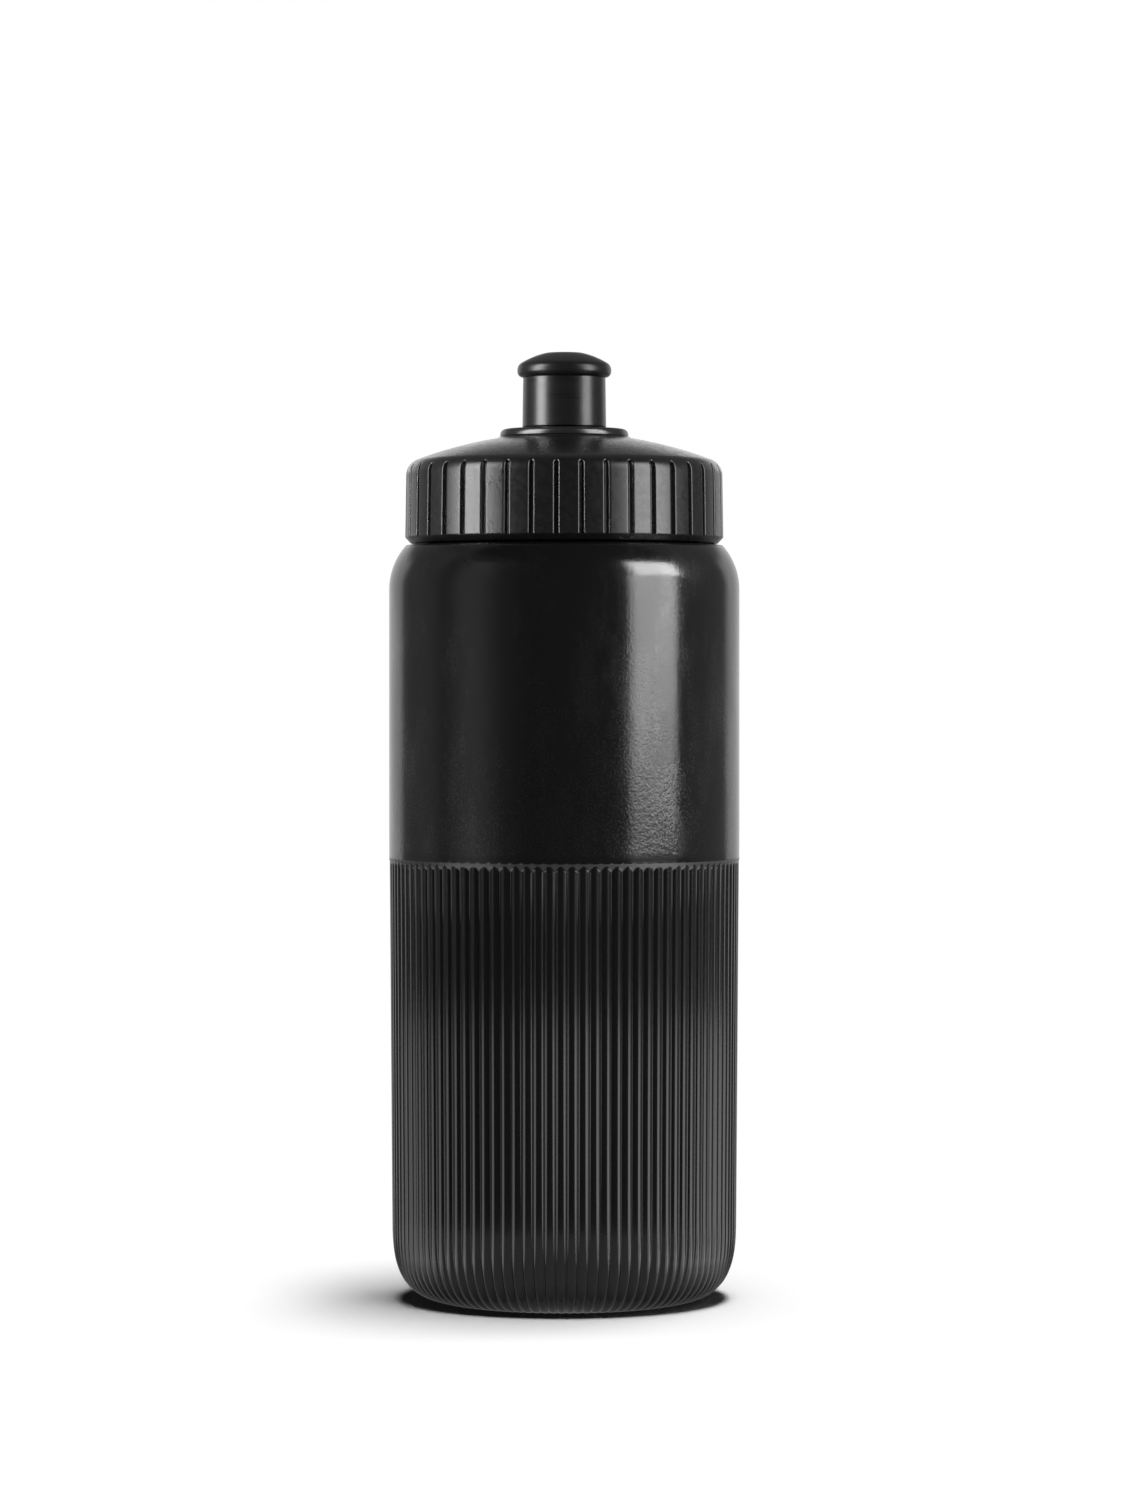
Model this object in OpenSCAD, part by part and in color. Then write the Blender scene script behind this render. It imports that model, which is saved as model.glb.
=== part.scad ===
// Sports squeeze bottle: blow-moulded body, screw lid and push-pull drinking spout.
// Millimetres, +Z up. Origin on the bottle's axis, on the plane of the base ring it stands on.

/* [Body] */
// Outside diameter of the smooth upper wall, which a bottle cage grips
body_d = 74; // [72:0.5:76]
// Height at which the shoulder starts to round inwards
shoulder_z = 149.6; // [140:0.2:155]
// Height of the upper ends of the grip ribs
rib_top_z = 92.5; // [60:0.5:110]
// Number of upright ribs round the lower wall
rib_count = 98; // [60:2:110]
// Depth of the grooves between the ribs
rib_depth = 0.55; // [0.3:0.05:0.7]
// Radius of the bottom corner
foot_r = 12; // [10:0.5:14]
// Height of the pushed-up middle of the base
push_up = 7; // [4:0.5:9]
// Wall thickness of the moulded body
wall = 1.6; // [1.4:0.1:1.8]

/* [Neck and thread] */
// Outside radius of the neck between the threads
neck_r = 29; // [28.8:0.1:29.2]
// Radius of the mouth
mouth_r = 27.2; // [26.9:0.1:27.3]
// Height of the neck above the shoulder
neck_h = 14.8; // [14.6:0.1:15]
// Rise of the two-start thread in one turn
thread_lead = 8; // [7.6:0.1:8.2]

/* [Lid] */
// Outside radius of the lid's skirt at its lower edge
lid_r = 33.6; // [33.4:0.05:33.8]
// Number of grip grooves round the skirt
groove_count = 40; // [30:1:48]
// Radius of the round-bottomed grip grooves
groove_r = 0.62; // [0.45:0.01:0.7]
// Radius of the domed deck
dome_r = 88; // [84:1:92]

/* [Spout] */
// How far the spout is pulled up to open it
spout_travel = 5; // [3.5:0.1:5]
// Outside radius of the sleeve at its top
sleeve_r = 8.7; // [8.6:0.05:8.8]
// Radius of the soft tip's rolled rim
tip_rim_r = 9.92; // [9.7:0.02:10.1]
// Radius of the drinking hole
orifice_r = 2.9; // [2.8:0.05:3.1]

/* [Hidden] */
$fn = 120;

// body
body_r = body_d / 2;
crest_top_r = body_r - 0.1;
crest_low_r = body_r - 0.65;
foot_in_r = crest_low_r - foot_r;
base_ring_r = foot_in_r - 2.3;
push_sphere_r = (base_ring_r * base_ring_r + push_up * push_up) / (2 * push_up);
shoulder_arc_r = 14;
shoulder_top = shoulder_z + 9.6;
shoulder_in_r = body_r - shoulder_arc_r;
rib_low_z = 5;
groove_bar = 1.5;
run_out_tilt = 24;
rib_phase = 0.7;
neck_top = shoulder_top + neck_h;
cavity_low_r = crest_low_r - rib_depth - wall + 0.5;
cavity_top_r = body_r - wall;

// thread, two starts made of separate arcs with vents between them
thread_depth = 1.4;
thread_root_h = 2;
thread_tip_h = 1;
thread_arc = 22;
arcs_per_turn = 12;
thread_low_z = shoulder_top + 3.2;
thread_turns = 1;
thread_bury = 0.5;
helix_tilt = atan(thread_lead / (2 * PI * (neck_r + thread_depth / 2)));
lid_thread_drop = 1.85;
lid_thread_depth = 1.7;

// lid
lid_low = shoulder_top + 0.4;
lid_bore_r = lid_r - 2.2;
dome_top = lid_low + 23.4;
corner_r = 3.5;
chamfer_h = 1.3;
chamfer_w = 0.75;
lid_top_r = lid_r - 0.2;
ledge_z = neck_top + 1.9;
gasket_gap = 0.3;
gasket_r = lid_bore_r - 0.6;
gasket_hole_r = 27;
deck = 2;
seat_z = dome_top - 1.2;
seat_r = 14.1;
hole_r = 10.2;
fin_r = 26.4;
fin_t = 1;
fin_low = neck_top - 1.2;
groove_top = lid_low + 15.9;
groove_low = lid_low + chamfer_h;
groove_phase = -92.85;
seal_t = 0.75;
seal_w = 1.8;

// spout insert
flange_r = 13.55;
flange_top = seat_z + 1.8;
post_r = 6.4;
post_bore_r = 4.6;
rib_run = 2.9;
sleeve_low = flange_top + 0.25;
lip_r = post_r + 0.2;
lip_low = sleeve_low + 0.5;
lip_top = lip_low + rib_run;
bead_low = lip_top + spout_travel + 0.1;
bead_h = 1.2;
sleeve_bore_r = 7.05;
bead_r = sleeve_bore_r - 0.1;
post_top = bead_low + bead_h;
seal_mid_z = lip_low + rib_run / 2;
seal_wire_r = 0.6;
seal_mid_r = post_r + seal_wire_r + 0.05;
seal_gap = 0.2;
sleeve_top = sleeve_low + 10.6;
spigot_r = 8.2;
spigot_top = sleeve_top + 1.9;
tip_top = sleeve_top + 5.15;
tip_sphere_r = 17.4;
tip_over = 0.45;
rim_round = 1.2;
foot_round = 0.65;
tip_wall = 1.6;
pin_r = orifice_r - 0.06;
pin_top = tip_top - 0.4;
web_t = 1;
web_low = seat_z - 2;
web_high = post_top - 2;
barb_z = seat_z - deck - 1.3;

// The closed bottle's outline on the right of the axis, to the top of the shoulder.
module body_outline() {
    difference() {
        union() {
            square([foot_in_r, foot_r]);
            intersection() {
                translate([foot_in_r, foot_r]) circle(r = foot_r);
                translate([foot_in_r - 1, 0]) square([foot_r + 2, foot_r]);
            }
            polygon([[0, foot_r], [crest_low_r, foot_r], [crest_top_r, rib_top_z - 0.2],
                     [body_r, rib_top_z], [body_r, shoulder_z], [0, shoulder_z]]);
            intersection() {
                translate([shoulder_in_r, shoulder_z]) circle(r = shoulder_arc_r);
                translate([0, shoulder_z]) square([body_r + 1, shoulder_top - shoulder_z]);
            }
            translate([0, shoulder_z]) square([shoulder_in_r, shoulder_top - shoulder_z]);
        }
        translate([0, push_up - push_sphere_r]) circle(r = push_sphere_r);
    }
}

// The space inside, from the base to the mouth.
module body_cavity() {
    difference() {
        union() {
            translate([0, wall]) square([foot_in_r, foot_r - wall]);
            intersection() {
                translate([foot_in_r, foot_r]) circle(r = foot_r - wall);
                translate([foot_in_r - 1, 0]) square([foot_r + 2, foot_r]);
            }
            polygon([[0, foot_r], [foot_in_r + foot_r - wall, foot_r], [cavity_low_r, foot_r + 4],
                     [cavity_top_r, rib_top_z + 6], [cavity_top_r, shoulder_z], [0, shoulder_z]]);
            intersection() {
                translate([shoulder_in_r, shoulder_z]) circle(r = shoulder_arc_r - wall);
                translate([0, shoulder_z])
                    square([body_r, shoulder_top - wall - shoulder_z]);
            }
            translate([0, shoulder_z]) square([shoulder_in_r, shoulder_top - wall - shoulder_z]);
            translate([0, shoulder_z]) square([mouth_r, neck_top + 1 - shoulder_z]);
        }
        translate([0, push_up - push_sphere_r]) circle(r = push_sphere_r + wall);
        square([foot_in_r, wall]);
    }
}

// One thread arc, level, centred on +X: a trapezoid ridge from root_r out (or in) to tip_r.
module thread_ridge(root_r, tip_r) {
    rotate([0, 0, -thread_arc / 2])
        rotate_extrude(angle = thread_arc)
            polygon([[root_r, -thread_root_h / 2], [tip_r, -thread_tip_h / 2],
                     [tip_r, thread_tip_h / 2], [root_r, thread_root_h / 2]]);
}

// Two starts, each arc tilted by the helix angle about its own radius.
module thread(root_r, tip_r, low_z) {
    for (start = [0, 1], i = [0 : arcs_per_turn * thread_turns - 1])
        rotate([0, 0, start * 180 + i * 360 / arcs_per_turn])
            translate([0, 0, low_z + i * thread_lead / arcs_per_turn])
                rotate([helix_tilt, 0, 0])
                    thread_ridge(root_r, tip_r);
}

// Square bars set on edge: each cuts one V groove, and a steeper one ends it in a pointed arch.
module rib_grooves() {
    root_top_r = crest_top_r - rib_depth;
    root_low_r = crest_low_r - rib_depth;
    run = rib_top_z - 1.6 - foot_r;
    lean = atan((root_top_r - root_low_r) / run);
    half = groove_bar / sqrt(2);
    for (i = [0 : rib_count - 1])
        rotate([0, 0, rib_phase - 90 + i * 360 / rib_count])
            translate([root_top_r + half, 0, rib_top_z - 1.6])
                rotate([0, lean, 0])
                    rotate([0, 0, 45])
                        translate([-groove_bar / 2, -groove_bar / 2, -run - rib_low_z])
                            cube([groove_bar, groove_bar, run + rib_low_z]);
}

module bottle() {
    color([0.05, 0.05, 0.055])
    union() {
        difference() {
            union() {
                rotate_extrude() body_outline();
                translate([0, 0, shoulder_top - 1]) cylinder(r = neck_r, h = neck_h + 1);
            }
            rotate_extrude() body_cavity();
            rib_grooves();
        }
        thread(neck_r - thread_bury, neck_r + thread_depth, thread_low_z);
    }
}

// The lid's outline on the right of the axis: chamfered skirt, rounded corner and domed deck.
module lid_outline() {
    arc_x = lid_top_r - corner_r;
    arc_z = dome_top - dome_r + sqrt(pow(dome_r - corner_r, 2) - arc_x * arc_x);
    touch = asin(arc_x / (dome_r - corner_r));
    intersection() {
        union() {
            polygon([[0, lid_low], [lid_r - chamfer_w, lid_low], [lid_r, groove_low], [lid_top_r, arc_z],
                     [0, arc_z]]);
            intersection() {
                translate([arc_x, arc_z]) circle(r = corner_r);
                translate([arc_x, arc_z]) square([corner_r + 1, corner_r + 1]);
            }
            translate([0, arc_z]) square([arc_x + corner_r * sin(touch), dome_top - arc_z]);
        }
        translate([0, dome_top - dome_r]) circle(r = dome_r);
    }
}

module lid_hollow() {
    translate([0, lid_low - 1]) square([lid_bore_r, ledge_z - lid_low + 1]);
    intersection() {
        translate([0, dome_top - dome_r]) circle(r = dome_r - deck);
        translate([0, ledge_z - 1]) square([gasket_hole_r, dome_top]);
    }
}

module lid() {
    color([0.09, 0.09, 0.095])
    union() {
        difference() {
            rotate_extrude()
                difference() {
                    lid_outline();
                    lid_hollow();
                    square([hole_r, dome_top + 1]);
                    translate([0, seat_z]) square([seat_r, dome_top]);
                    translate([0, seat_z - seal_t]) square([hole_r + 0.1 + seal_w, dome_top]);
                }
            for (i = [0 : groove_count - 1])
                rotate([0, 0, groove_phase + i * 360 / groove_count])
                    translate([lid_r - 0.05, 0, groove_low]) {
                        cylinder(r = groove_r, h = groove_top - groove_low - groove_r, $fn = 24);
                        translate([0, 0, groove_top - groove_low - groove_r])
                            sphere(r = groove_r, $fn = 24);
                    }
        }
        thread(lid_bore_r + thread_bury, lid_bore_r - lid_thread_depth, thread_low_z - lid_thread_drop);
        rotate_extrude()
            intersection() {
                translate([fin_r - fin_t, fin_low]) square([fin_t, dome_top]);
                translate([0, dome_top - dome_r]) circle(r = dome_r - deck / 2);
            }
    }
}

module lid_gasket() {
    color([0.35, 0.35, 0.36])
    rotate_extrude()
        translate([gasket_hole_r, neck_top + gasket_gap])
            square([gasket_r - gasket_hole_r, ledge_z - neck_top - 2 * gasket_gap]);
}

module spout_seat() {
    color([0.04, 0.04, 0.045])
    union() {
        rotate_extrude()
            difference() {
                union() {
                    // flange with a rounded rim
                    translate([0, seat_z]) square([flange_r - 0.9, flange_top - seat_z]);
                    translate([0, seat_z]) square([flange_r, 0.8]);
                    intersection() {
                        translate([flange_r - 0.9, flange_top - 0.9]) circle(r = 0.9);
                        translate([flange_r - 1, seat_z]) square([1, 2]);
                    }
                    // shank through the deck, and the barb that snaps below it
                    translate([0, barb_z - 1.5]) square([hole_r - 0.1, seat_z - barb_z + 1.6]);
                    polygon([[hole_r - 1, barb_z - 1.5], [hole_r - 0.1, barb_z - 1.5],
                             [hole_r + 0.6, barb_z], [hole_r - 1, barb_z]]);
                    // post and its stop bead
                    translate([0, seat_z]) square([post_r, post_top - seat_z]);
                    translate([0, bead_low]) square([bead_r, bead_h]);
                }
                translate([-1, 0]) square([post_bore_r + 1, dome_top * 2]);
                translate([-1, 0]) square([hole_r - 1.2, seat_z - 0.6]);
            }
        // plug pin on three webs
        translate([0, 0, web_low]) cylinder(r = pin_r, h = pin_top - web_low - 1);
        translate([0, 0, pin_top - 1]) cylinder(r1 = pin_r, r2 = pin_r - 0.8, h = 1);
        for (a = [30, 150, 270])
            rotate([0, 0, a])
                translate([0, -web_t / 2, web_low + 1.5])
                    cube([post_bore_r + 0.5, web_t, web_high - web_low - 1.5]);
    }
}

module seat_seal() {
    color([0.35, 0.35, 0.36])
    rotate_extrude()
        translate([hole_r + 0.1, seat_z - seal_t]) square([seal_w, seal_t]);
}

module spout_sleeve() {
    color([0.1, 0.1, 0.105])
    rotate_extrude()
        difference() {
            union() {
                polygon([[lip_r, sleeve_low], [sleeve_r + 0.15, sleeve_low], [sleeve_r, sleeve_top],
                         [lip_r, sleeve_top]]);
                translate([lip_r, sleeve_top - 1]) square([spigot_r - lip_r, spigot_top - sleeve_top + 1]);
            }
            translate([0, lip_top]) square([sleeve_bore_r, spigot_top]);
            translate([0, sleeve_low - 1]) square([sleeve_bore_r, lip_low - sleeve_low + 1]);
            translate([0, seal_mid_z - seal_wire_r - seal_gap])
                square([seal_mid_r + seal_wire_r + 0.1, 2 * (seal_wire_r + seal_gap)]);
        }
}

module sleeve_seal() {
    color([0.35, 0.35, 0.36])
    rotate_extrude()
        translate([seal_mid_r, seal_mid_z]) circle(r = seal_wire_r, $fn = 32);
}

// Dome with a rolled rim: a large circle, closed by a round shoulder and a smaller lower edge.
module tip_outline() {
    sphere_z = tip_top + tip_over - tip_sphere_r;
    rim_x = tip_rim_r - rim_round;
    rim_z = sphere_z + sqrt(pow(tip_sphere_r - rim_round, 2) - rim_x * rim_x);
    touch = asin(rim_x / (tip_sphere_r - rim_round));
    translate([rim_x, rim_z]) circle(r = rim_round);
    translate([tip_rim_r - foot_round, sleeve_top + foot_round]) circle(r = foot_round);
    translate([0, sleeve_top]) square([tip_rim_r - foot_round, rim_z - sleeve_top]);
    translate([0, sleeve_top + foot_round])
        square([tip_rim_r, rim_z - sleeve_top - foot_round]);
    intersection() {
        translate([0, sphere_z]) circle(r = tip_sphere_r);
        translate([0, rim_z])
            square([tip_sphere_r * sin(touch), tip_top - rim_z]);
    }
}

module mouthpiece() {
    color([0.03, 0.03, 0.035])
    rotate_extrude()
        difference() {
            tip_outline();
            translate([0, sleeve_top - 1]) square([spigot_r, spigot_top - sleeve_top + 1]);
            translate([0, sleeve_top]) square([sleeve_bore_r - 0.3, tip_top - tip_wall - sleeve_top]);
            square([orifice_r, tip_top * 2]);
        }
}

bottle();
lid();
lid_gasket();
spout_seat();
seat_seal();
spout_sleeve();
sleeve_seal();
mouthpiece();
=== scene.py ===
# %% [markdown]
# # A squeeze bottle in eight pieces
#
# The real thing is a soft blow-moulded body, a screw lid with a grooved skirt, and a
# push-pull spout in the lid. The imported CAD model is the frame: it says where each piece
# is and how it moves. Here every piece is made again as a smooth surface, because a CAD
# mesh has long thin triangles that show in a gloss, and its ribs stop before the base.

# %% Load the frame
import math

import bpy
import numpy as np
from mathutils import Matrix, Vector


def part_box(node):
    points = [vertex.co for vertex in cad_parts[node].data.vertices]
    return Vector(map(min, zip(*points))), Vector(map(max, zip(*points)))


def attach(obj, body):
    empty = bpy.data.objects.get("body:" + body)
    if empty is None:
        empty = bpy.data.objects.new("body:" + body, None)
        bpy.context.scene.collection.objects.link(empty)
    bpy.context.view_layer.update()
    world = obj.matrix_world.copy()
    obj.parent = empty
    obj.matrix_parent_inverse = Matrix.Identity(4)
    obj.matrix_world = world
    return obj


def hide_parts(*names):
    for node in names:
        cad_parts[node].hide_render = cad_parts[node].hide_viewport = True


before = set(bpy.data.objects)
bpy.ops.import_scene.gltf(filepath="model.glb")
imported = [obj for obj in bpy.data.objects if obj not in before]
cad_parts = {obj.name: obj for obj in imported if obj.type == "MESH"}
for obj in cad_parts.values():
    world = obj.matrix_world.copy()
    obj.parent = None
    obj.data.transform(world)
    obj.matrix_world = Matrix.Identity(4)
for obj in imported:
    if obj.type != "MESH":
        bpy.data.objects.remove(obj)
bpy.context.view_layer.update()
MM = 0.001

# %% [markdown]
# ## Sizes that the frame gives
#
# All outlines below are in millimetres, as (radius, height) pairs. Heights and radii that
# the CAD solids already hold are read from their boxes, so a change in the CAD model
# carries over to the look. The height where the ribs end isn't on any box, so it stands
# here as a number that both the finish and the surface of the wall use.

# %% Read the sizes
def span(node):
    """Radius, lowest and highest point of a CAD node, in millimetres."""
    low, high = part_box(node)
    return high.x / MM, low.z / MM, high.z / MM


BODY_R, _, NECK_TOP = span("bottle")
LID_R, LID_LOW, LID_TOP = span("lid")
GASKET_R, GASKET_LOW, GASKET_TOP = span("lid_gasket")
FLANGE_R, BARB_LOW, PIN_TOP = span("spout_seat")
SEAT_SEAL_R, _, SEAT_Z = span("seat_seal")
SLEEVE_R, SLEEVE_LOW, SPIGOT_TOP = span("spout_sleeve")
TIP_R, TIP_LOW, TIP_TOP = span("mouthpiece")
O_RING_R, O_RING_LOW, O_RING_TOP = span("sleeve_seal")
RIB_TOP = 92.95
print("body radius", BODY_R, "neck top", NECK_TOP, "lid", LID_R, LID_LOW, LID_TOP)

# %% [markdown]
# ## Outlines from corners and arcs
#
# Every piece here is round, so its shape is an outline carried round the axis. A moulded
# edge is never sharp: each corner becomes a small arc, which is what catches the light.
# Two extra points beside each arc keep the shading of the long flat runs flat.

# %% Outline helpers
def unit(vectors):
    """Each vector divided by its own length."""
    return vectors / np.linalg.norm(vectors, axis=-1, keepdims=True)


def arc(centre, radius, start, end, steps):
    """Points on a circle: the centre plus radius times (cosine, sine) of an angle that goes
    evenly from start to end, in degrees."""
    turn = np.radians(np.linspace(start, end, steps + 1))
    return np.array(centre) + radius * np.c_[np.cos(turn), np.sin(turn)]


def rounded(corners, radii, steps=5, closed=True):
    """An outline through corners that are rounded by their radii.
    With h half the angle at a corner, its arc starts radius / tan(h) away along each side,
    and its centre is radius / sin(h) away along the bisector."""
    corners = np.array(corners, float)
    radii = np.broadcast_to(np.array(radii, float), len(corners))
    back = np.roll(corners, 1, 0) - corners
    ahead = np.roll(corners, -1, 0) - corners
    side = np.linalg.norm(ahead, axis=1)
    back, ahead = unit(back), unit(ahead)
    half = np.arccos(np.clip((back * ahead).sum(1), -1, 1)) / 2
    setback = radii / np.tan(half)
    centre = corners + unit(back + ahead) * (radii / np.sin(half))[:, None]
    first = corners + back * setback[:, None] - centre
    last = corners + ahead * setback[:, None] - centre
    begin = np.arctan2(first[:, 1], first[:, 0])
    sweep = (np.arctan2(last[:, 1], last[:, 0]) - begin + math.pi) % (2 * math.pi) - math.pi
    turn = begin[:, None] + sweep[:, None] * np.linspace(0, 1, steps + 1)
    points = centre[:, None] + radii[:, None, None] * np.stack([np.cos(turn), np.sin(turn)], -1)
    room = side - setback - np.roll(setback, -1)
    guard_after = np.minimum(0.5 * radii, 0.3 * room)
    guard_before = np.minimum(0.5 * radii, 0.3 * np.roll(room, 1))
    before = points[:, 0] + back * guard_before[:, None]
    after = points[:, -1] + ahead * guard_after[:, None]
    rows = np.concatenate([before[:, None], points, after[:, None]], 1)
    if closed:
        return rows.reshape(-1, 2)
    return np.vstack([corners[:1], rows[1:-1].reshape(-1, 2), corners[-1:]])


def ease(low, high, value):
    """0 below low, 1 above high, and 3t^2 - 2t^3 between, with t the share of the way."""
    t = np.clip((value - low) / (high - low), 0, 1)
    return t * t * (3 - 2 * t)


# %% [markdown]
# ## From outline to mesh
#
# An outline that runs anticlockwise in the (radius, height) plane gives faces that point
# outwards. A closed outline makes a ring, like a gasket. An open one starts and ends on
# the axis, and its two ends are closed by fans of triangles round a single pole point.

# %% Surface and mesh helpers
def lathe(radius, height, angle):
    """The point at radius r, height z and angle a is (r cos a, r sin a, z), in metres."""
    radius, height, angle = np.broadcast_arrays(radius, height, angle)
    return np.stack([radius * np.cos(angle), radius * np.sin(angle), height], -1) * MM


def grid_faces(rows, columns, close_rows):
    """Four-sided faces of a grid whose columns go all the way round."""
    i = np.arange(rows if close_rows else rows - 1)[:, None]
    j = np.arange(columns)[None, :]
    up, right = (i + 1) % rows, (j + 1) % columns
    corners = (i * columns + j, i * columns + right, up * columns + right, up * columns + j)
    return np.stack(corners, -1).reshape(-1, 4)


def ring_skin(points):
    """A closed outline carried round: vertices and faces of a ring."""
    rows, columns = points.shape[:2]
    return points.reshape(-1, 3), grid_faces(rows, columns, True).tolist()


def capped_skin(points):
    """An open outline carried round: its first and last rows shrink to one pole point each."""
    rows, columns = points.shape[0] - 2, points.shape[1]
    body = points[1:-1].reshape(-1, 3)
    poles = np.stack([points[0].mean(0), points[-1].mean(0)])
    faces = grid_faces(rows, columns, False).tolist()
    j = np.arange(columns)
    right = (j + 1) % columns
    bottom, top = rows * columns, rows * columns + 1
    last = (rows - 1) * columns
    faces += np.stack([np.full(columns, bottom), right, j], -1).tolist()
    faces += np.stack([last + j, last + right, np.full(columns, top)], -1).tolist()
    return np.vstack([body, poles]), faces


def even_turn(columns):
    """Equal angles for one full turn."""
    return np.arange(columns) * 2 * math.pi / columns


def turned(outline, columns=192):
    """A closed outline turned round the axis."""
    return ring_skin(lathe(outline[:, :1], outline[:, 1:], even_turn(columns)))


def make_piece(name, skins, finish, body, nodes):
    """Joins the skins into one smooth mesh that stands for its CAD nodes and rides on a body."""
    vertices, faces, count = [], [], 0
    for points, polygons in skins:
        vertices.append(points)
        faces += [[corner + count for corner in polygon] for polygon in polygons]
        count += len(points)
    mesh = bpy.data.meshes.new(name)
    mesh.from_pydata(np.vstack(vertices).tolist(), [], faces)
    mesh.validate()
    mesh.shade_smooth()
    mesh.materials.append(finish)
    piece = bpy.data.objects.new(name, mesh)
    bpy.context.scene.collection.objects.link(piece)
    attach(piece, body)
    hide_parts(*nodes)
    triangles = sum(len(polygon) - 2 for polygon in faces)
    print(f"{name}: {len(mesh.vertices)} points, {triangles} triangles")
    return piece


# %% [markdown]
# ## Writing shader maths as expressions
#
# A finish is black plastic with small differences in gloss, colour and surface. Those
# come from noise patterns that are scaled, added and mixed. The class Level wraps a
# socket, so that the maths reads like maths and adds its Math nodes by itself. Nodes holds
# one node tree with a single way to add any node, and Finish is such a tree for a material.

# %% Shader helpers
class Level:
    """A number that varies over a surface: an output socket with arithmetic."""

    def __init__(self, nodes, socket):
        self.nodes = nodes
        self.socket = socket

    def math(self, operation, *values):
        node = self.nodes.add("ShaderNodeMath", {"operation": operation}, dict(enumerate(values)))
        return Level(self.nodes, node.outputs[0])

    def __add__(self, other):
        return self.math("ADD", self, other)

    def __rsub__(self, other):
        return self.math("SUBTRACT", other, self)

    def __mul__(self, other):
        return self.math("MULTIPLY", self, other)

    def above(self, low, high, form="LINEAR"):
        """0 where this is at low, 1 where it is at high, and even or eased between; low may be
        the larger one, and then it is 1 under high and 0 over low."""
        settings = {"clamp": True, "interpolation_type": form}
        sockets = {"Value": self, "From Min": low, "From Max": high}
        node = self.nodes.add("ShaderNodeMapRange", settings, sockets)
        return Level(self.nodes, node.outputs[0])

    __radd__ = __add__
    __rmul__ = __mul__


class Nodes:
    """A node tree with one method that adds any node and one that sets any socket."""

    def __init__(self, tree):
        self.tree = tree

    def add(self, kind, settings=None, sockets=None):
        """Adds a node, sets its settings, then its sockets from values or links."""
        node = self.tree.nodes.new(kind)
        for setting, value in (settings or {}).items():
            setattr(node, setting, value)
        for socket, value in (sockets or {}).items():
            self.feed(node.inputs[socket], value)
        return node

    def feed(self, target, value):
        """Links a socket or a level to target, or sets target to a plain value."""
        source = value.socket if isinstance(value, Level) else value
        if isinstance(source, bpy.types.NodeSocket):
            self.tree.links.new(source, target)
        else:
            target.default_value = source

    def attribute(self, name):
        """A number that each point of the mesh holds under this name."""
        return Level(self, self.add("ShaderNodeAttribute", {"attribute_name": name}).outputs["Fac"])


class Finish(Nodes):
    """A material with a Principled shader, whose constants are set by name."""

    def __init__(self, name, **constants):
        self.material = bpy.data.materials.new(name)
        self.material.use_nodes = True
        super().__init__(self.material.node_tree)
        self.shader = self.tree.nodes["Principled BSDF"]
        for socket, value in constants.items():
            self.shader.inputs[socket.replace("_", " ")].default_value = value
        self.place = self.add("ShaderNodeTexCoord").outputs["Object"]

    def noise(self, scale, detail=2.0, stretch=(1, 1, 1), roughness=0.5):
        """Noise from 0 to 1, scale lumps to the metre, finer along an axis with a larger stretch."""
        where = self.add("ShaderNodeMapping", {}, {"Vector": self.place, "Scale": stretch})
        sockets = {"Vector": where.outputs[0], "Scale": scale, "Detail": detail}
        sockets["Roughness"] = roughness
        return Level(self, self.add("ShaderNodeTexNoise", {}, sockets).outputs["Fac"])

    def along(self, axis):
        """The place along one axis, X, Y or Z, in metres."""
        split = self.add("ShaderNodeSeparateXYZ", {}, {0: self.place})
        return Level(self, split.outputs[axis])

    def tint(self, level, dark, light):
        """Mixes two greys by a level and gives the result to the base colour."""
        sockets = {0: level, 6: (*dark, 1), 7: (*light, 1)}
        mix = self.add("ShaderNodeMix", {"data_type": "RGBA"}, sockets)
        self.feed(self.shader.inputs["Base Color"], mix.outputs[2])

    def gloss(self, level):
        """Sets the roughness."""
        self.feed(self.shader.inputs["Roughness"], level)

    def haze(self, level):
        """Sets the weight of a second, rougher gloss on top."""
        self.feed(self.shader.inputs["Coat Weight"], level)

    def relief(self, level, distance):
        """Raises the surface by level times distance, in metres, through a Bump node."""
        bump = self.add("ShaderNodeBump", {}, {"Height": level, "Strength": 1.0})
        bump.inputs["Distance"].default_value = distance
        self.feed(self.shader.inputs["Normal"], bump.outputs[0])


# %% [markdown]
# ## Finish of the body wall
#
# A blow-moulded wall is glossy but never flat: the hot tube of plastic is stretched
# upwards, which leaves faint upright waves, and the mould gives a fine orange peel. Low
# bumps of both kinds break up the edges of the reflections. The peel is strongest low on
# the smooth wall, and the ribs have none. Handling leaves duller clouds in the roughness,
# and dusty scuffs, which are a rougher coat in streaks. The slope between the ribs' points
# is rougher, and its colour is painted lighter as a painted sheen for the light it catches;
# the mesh marks it with an attribute.

# %% Body wall finish
COAT_ROUGHNESS = 0.32
SMOOTH_FROM = (RIB_TOP + 0.55) * MM
SMOOTH_FULL = (RIB_TOP + 2.05) * MM
PEEL_FULL = 0.10
PEEL_NONE = 0.15


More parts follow.
